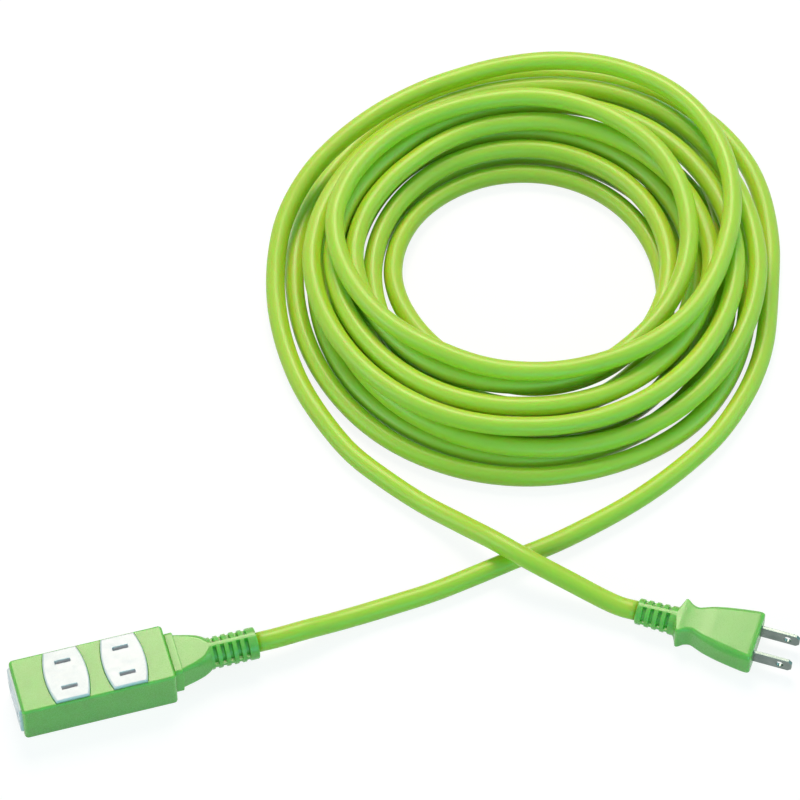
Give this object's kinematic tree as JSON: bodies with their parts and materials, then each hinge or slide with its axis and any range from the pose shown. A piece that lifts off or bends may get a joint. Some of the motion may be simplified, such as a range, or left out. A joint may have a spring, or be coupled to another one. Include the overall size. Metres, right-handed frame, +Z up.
{
  "type": "extension cord",
  "caption": "Extension cord with a small block tap for flat two-blade plugs, a round cord in a loose coil and a moulded two-blade plug.",
  "frame": {"origin": "on the floor, under the middle of the tap's case and its raised end face", "axes": "+X along the tap towards its cord, +Y across the tap towards its back side, +Z up; the coil and the plug lie beside the tap on the same floor"},
  "size_m": [0.3834, 0.3433, 0.0354],
  "materials": {
    "case_green": "satin moulded PVC, light green",
    "moulding_green": "satin moulded soft PVC, light green",
    "cord_green": "semi-gloss extruded soft PVC, lime green",
    "face_white": "smooth moulded urea, white",
    "carrier_grey": "moulded insulating plastic, dark grey",
    "contact_brass": "stamped spring brass",
    "blade_nickel": "nickel-plated brass, satin",
    "copper": "bare copper strands",
    "core_black": "extruded PVC, black",
    "core_white": "extruded PVC, white"
  },
  "bodies": {
    "root": {"tap_shell": "case_green", "tap_base": "case_green", "outlet_face_1": "face_white", "outlet_face_2": "face_white", "outlet_face_end": "face_white", "contact_carrier": "carrier_grey", "contact_bar_front": "contact_brass", "contact_bar_back": "contact_brass", "tap_crimps": "contact_brass", "tap_strands": "copper", "tap_core_black": "core_black", "tap_core_white": "core_white", "tap_cord_end": "cord_green", "tap_relief": "moulding_green", "cord_tap_lead": "cord_green", "cord_coil": "cord_green", "cord_plug_lead": "cord_green", "plug_body": "moulding_green", "plug_bridge": "carrier_grey", "plug_blade_front": "blade_nickel", "plug_blade_back": "blade_nickel", "plug_crimps": "contact_brass", "plug_strands": "copper", "plug_core_black": "core_black", "plug_core_white": "core_white", "plug_cord_end": "cord_green"}
  },
  "joints": []
}
